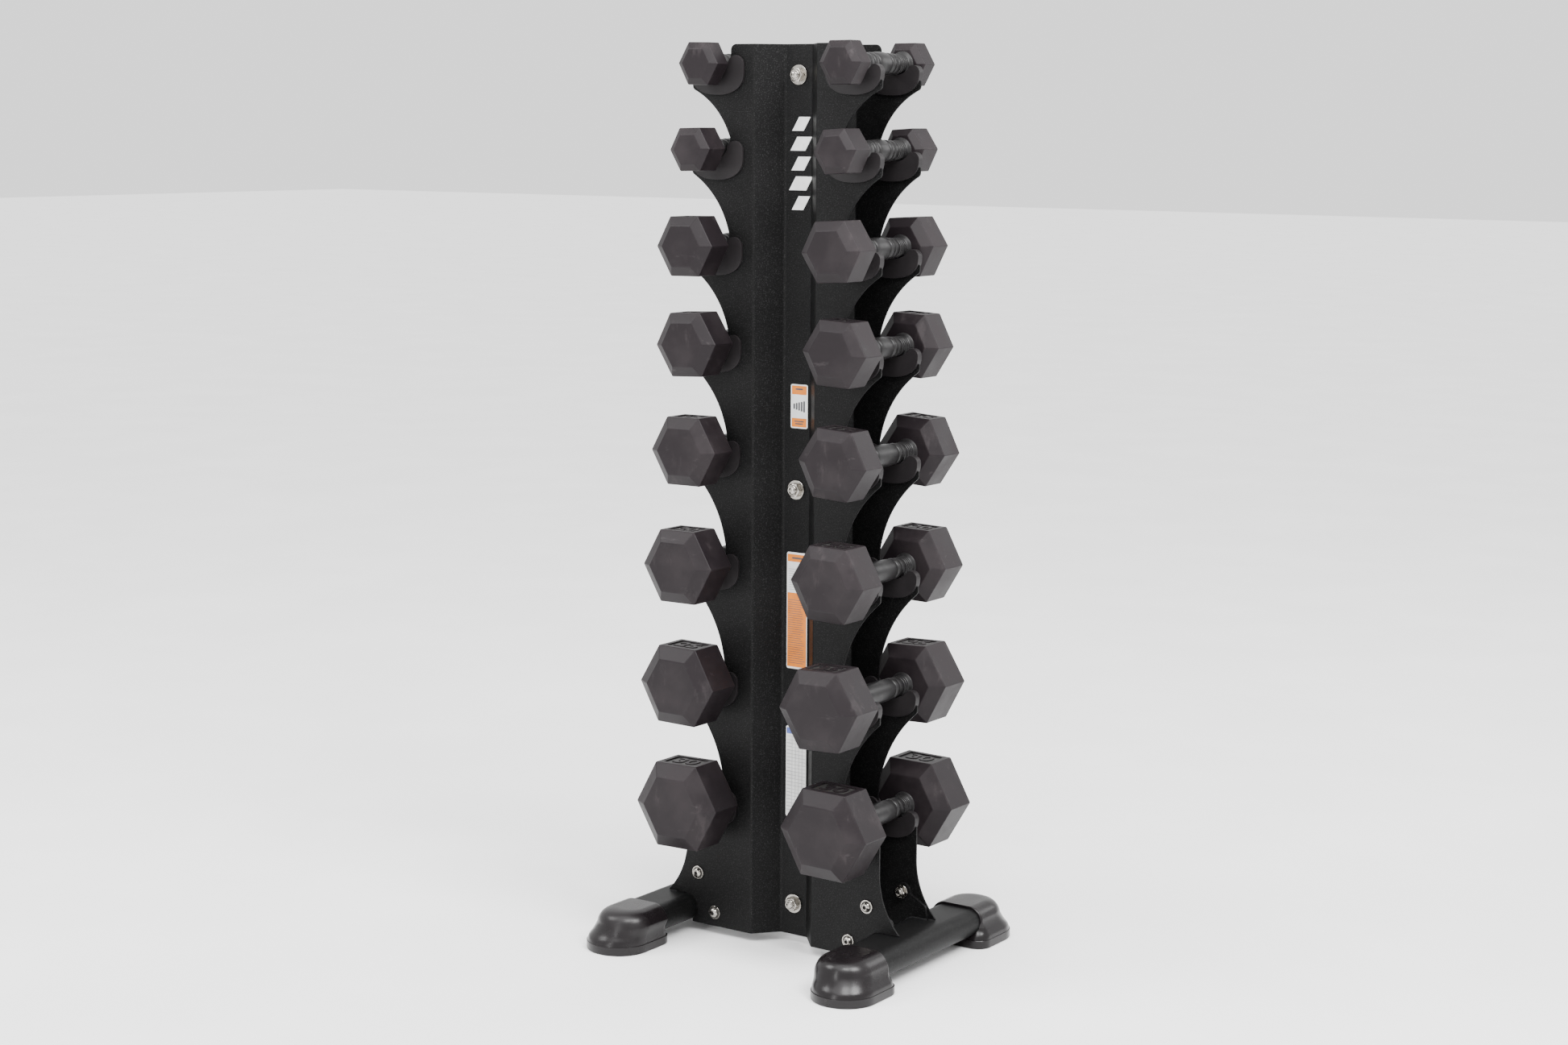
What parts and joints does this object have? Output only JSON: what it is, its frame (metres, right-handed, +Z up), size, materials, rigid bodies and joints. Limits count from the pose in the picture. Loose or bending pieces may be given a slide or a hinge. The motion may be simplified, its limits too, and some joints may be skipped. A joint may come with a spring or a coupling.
{
  "type": "dumbbell rack",
  "caption": "Upright two-sided dumbbell rack: two scalloped bent-sheet panels with moulded saddles, oval foot tubes on rubber boots, and pairs of hexagonal dumbbells that lift off.",
  "frame": {"origin": "on the floor, under the middle of the rack", "axes": "+X to the right along the front panel, +Y away from the front, along the dumbbells, +Z up"},
  "size_m": [0.508, 0.466, 1.3463],
  "materials": {
    "black_powder_coat": "fine-textured satin black powder coat",
    "black_tube_coat": "satin black powder coat",
    "boot_rubber": "satin charcoal moulded rubber",
    "saddle_plastic": "satin charcoal moulded plastic",
    "bright_zinc": "bright zinc",
    "head_rubber": "cast iron under a matte charcoal rubber coat"
  },
  "bodies": {
    "rack": {"front_panel": "black_powder_coat", "rear_panel": "black_powder_coat", "foot_tube_left": "black_tube_coat", "foot_tube_right": "black_tube_coat", "boot_left_front": "boot_rubber", "boot_left_rear": "boot_rubber", "boot_right_front": "boot_rubber", "boot_right_rear": "boot_rubber", "saddle_left_front_1": "saddle_plastic", "saddle_left_rear_1": "saddle_plastic", "saddle_right_front_1": "saddle_plastic", "saddle_right_rear_1": "saddle_plastic", "saddle_left_front_2": "saddle_plastic", "saddle_left_rear_2": "saddle_plastic", "saddle_right_front_2": "saddle_plastic", "saddle_right_rear_2": "saddle_plastic", "saddle_left_front_3": "saddle_plastic", "saddle_left_rear_3": "saddle_plastic", "saddle_right_front_3": "saddle_plastic", "saddle_right_rear_3": "saddle_plastic", "saddle_left_front_4": "saddle_plastic", "saddle_left_rear_4": "saddle_plastic", "saddle_right_front_4": "saddle_plastic", "saddle_right_rear_4": "saddle_plastic", "saddle_left_front_5": "saddle_plastic", "saddle_left_rear_5": "saddle_plastic", "saddle_right_front_5": "saddle_plastic", "saddle_right_rear_5": "saddle_plastic", "saddle_left_front_6": "saddle_plastic", "saddle_left_rear_6": "saddle_plastic", "saddle_right_front_6": "saddle_plastic", "saddle_right_rear_6": "saddle_plastic", "saddle_left_front_7": "saddle_plastic", "saddle_left_rear_7": "saddle_plastic", "saddle_right_front_7": "saddle_plastic", "saddle_right_rear_7": "saddle_plastic", "saddle_left_front_8": "saddle_plastic", "saddle_left_rear_8": "saddle_plastic", "saddle_right_front_8": "saddle_plastic", "saddle_right_rear_8": "saddle_plastic", "tie_bolt_top": "bright_zinc", "tie_bolt_middle": "bright_zinc", "tie_bolt_bottom": "bright_zinc"},
    "dumbbell_05_left": {"dumbbell_05_left": "head_rubber"},
    "dumbbell_05_right": {"dumbbell_05_right": "head_rubber"},
    "dumbbell_08_left": {"dumbbell_08_left": "head_rubber"},
    "dumbbell_08_right": {"dumbbell_08_right": "head_rubber"},
    "dumbbell_10_left": {"dumbbell_10_left": "head_rubber"},
    "dumbbell_10_right": {"dumbbell_10_right": "head_rubber"},
    "dumbbell_12_left": {"dumbbell_12_left": "head_rubber"},
    "dumbbell_12_right": {"dumbbell_12_right": "head_rubber"},
    "dumbbell_15_left": {"dumbbell_15_left": "head_rubber"},
    "dumbbell_15_right": {"dumbbell_15_right": "head_rubber"},
    "dumbbell_20_left": {"dumbbell_20_left": "head_rubber"},
    "dumbbell_20_right": {"dumbbell_20_right": "head_rubber"},
    "dumbbell_25_left": {"dumbbell_25_left": "head_rubber"},
    "dumbbell_25_right": {"dumbbell_25_right": "head_rubber"},
    "dumbbell_30_left": {"dumbbell_30_left": "head_rubber"},
    "dumbbell_30_right": {"dumbbell_30_right": "head_rubber"}
  },
  "joints": [
    {"name": "lift_dumbbell_05_left", "type": "slide", "parent": "rack", "child": "dumbbell_05_left", "axis": [-0.8192, 0, 0.5736], "range_m": [0, 0.26]},
    {"name": "lift_dumbbell_05_right", "type": "slide", "parent": "rack", "child": "dumbbell_05_right", "axis": [0.8192, 0, 0.5736], "range_m": [0, 0.26]},
    {"name": "lift_dumbbell_08_left", "type": "slide", "parent": "rack", "child": "dumbbell_08_left", "axis": [-0.8192, 0, 0.5736], "range_m": [0, 0.26]},
    {"name": "lift_dumbbell_08_right", "type": "slide", "parent": "rack", "child": "dumbbell_08_right", "axis": [0.8192, 0, 0.5736], "range_m": [0, 0.26]},
    {"name": "lift_dumbbell_10_left", "type": "slide", "parent": "rack", "child": "dumbbell_10_left", "axis": [-0.8192, 0, 0.5736], "range_m": [0, 0.26]},
    {"name": "lift_dumbbell_10_right", "type": "slide", "parent": "rack", "child": "dumbbell_10_right", "axis": [0.8192, 0, 0.5736], "range_m": [0, 0.26]},
    {"name": "lift_dumbbell_12_left", "type": "slide", "parent": "rack", "child": "dumbbell_12_left", "axis": [-0.8192, 0, 0.5736], "range_m": [0, 0.26]},
    {"name": "lift_dumbbell_12_right", "type": "slide", "parent": "rack", "child": "dumbbell_12_right", "axis": [0.8192, 0, 0.5736], "range_m": [0, 0.26]},
    {"name": "lift_dumbbell_15_left", "type": "slide", "parent": "rack", "child": "dumbbell_15_left", "axis": [-0.8192, 0, 0.5736], "range_m": [0, 0.26]},
    {"name": "lift_dumbbell_15_right", "type": "slide", "parent": "rack", "child": "dumbbell_15_right", "axis": [0.8192, 0, 0.5736], "range_m": [0, 0.26]},
    {"name": "lift_dumbbell_20_left", "type": "slide", "parent": "rack", "child": "dumbbell_20_left", "axis": [-0.8192, 0, 0.5736], "range_m": [0, 0.26]},
    {"name": "lift_dumbbell_20_right", "type": "slide", "parent": "rack", "child": "dumbbell_20_right", "axis": [0.8192, 0, 0.5736], "range_m": [0, 0.26]},
    {"name": "lift_dumbbell_25_left", "type": "slide", "parent": "rack", "child": "dumbbell_25_left", "axis": [-0.8192, 0, 0.5736], "range_m": [0, 0.26]},
    {"name": "lift_dumbbell_25_right", "type": "slide", "parent": "rack", "child": "dumbbell_25_right", "axis": [0.8192, 0, 0.5736], "range_m": [0, 0.26]},
    {"name": "lift_dumbbell_30_left", "type": "slide", "parent": "rack", "child": "dumbbell_30_left", "axis": [-0.8192, 0, 0.5736], "range_m": [0, 0.26]},
    {"name": "lift_dumbbell_30_right", "type": "slide", "parent": "rack", "child": "dumbbell_30_right", "axis": [0.8192, 0, 0.5736], "range_m": [0, 0.26]}
  ]
}
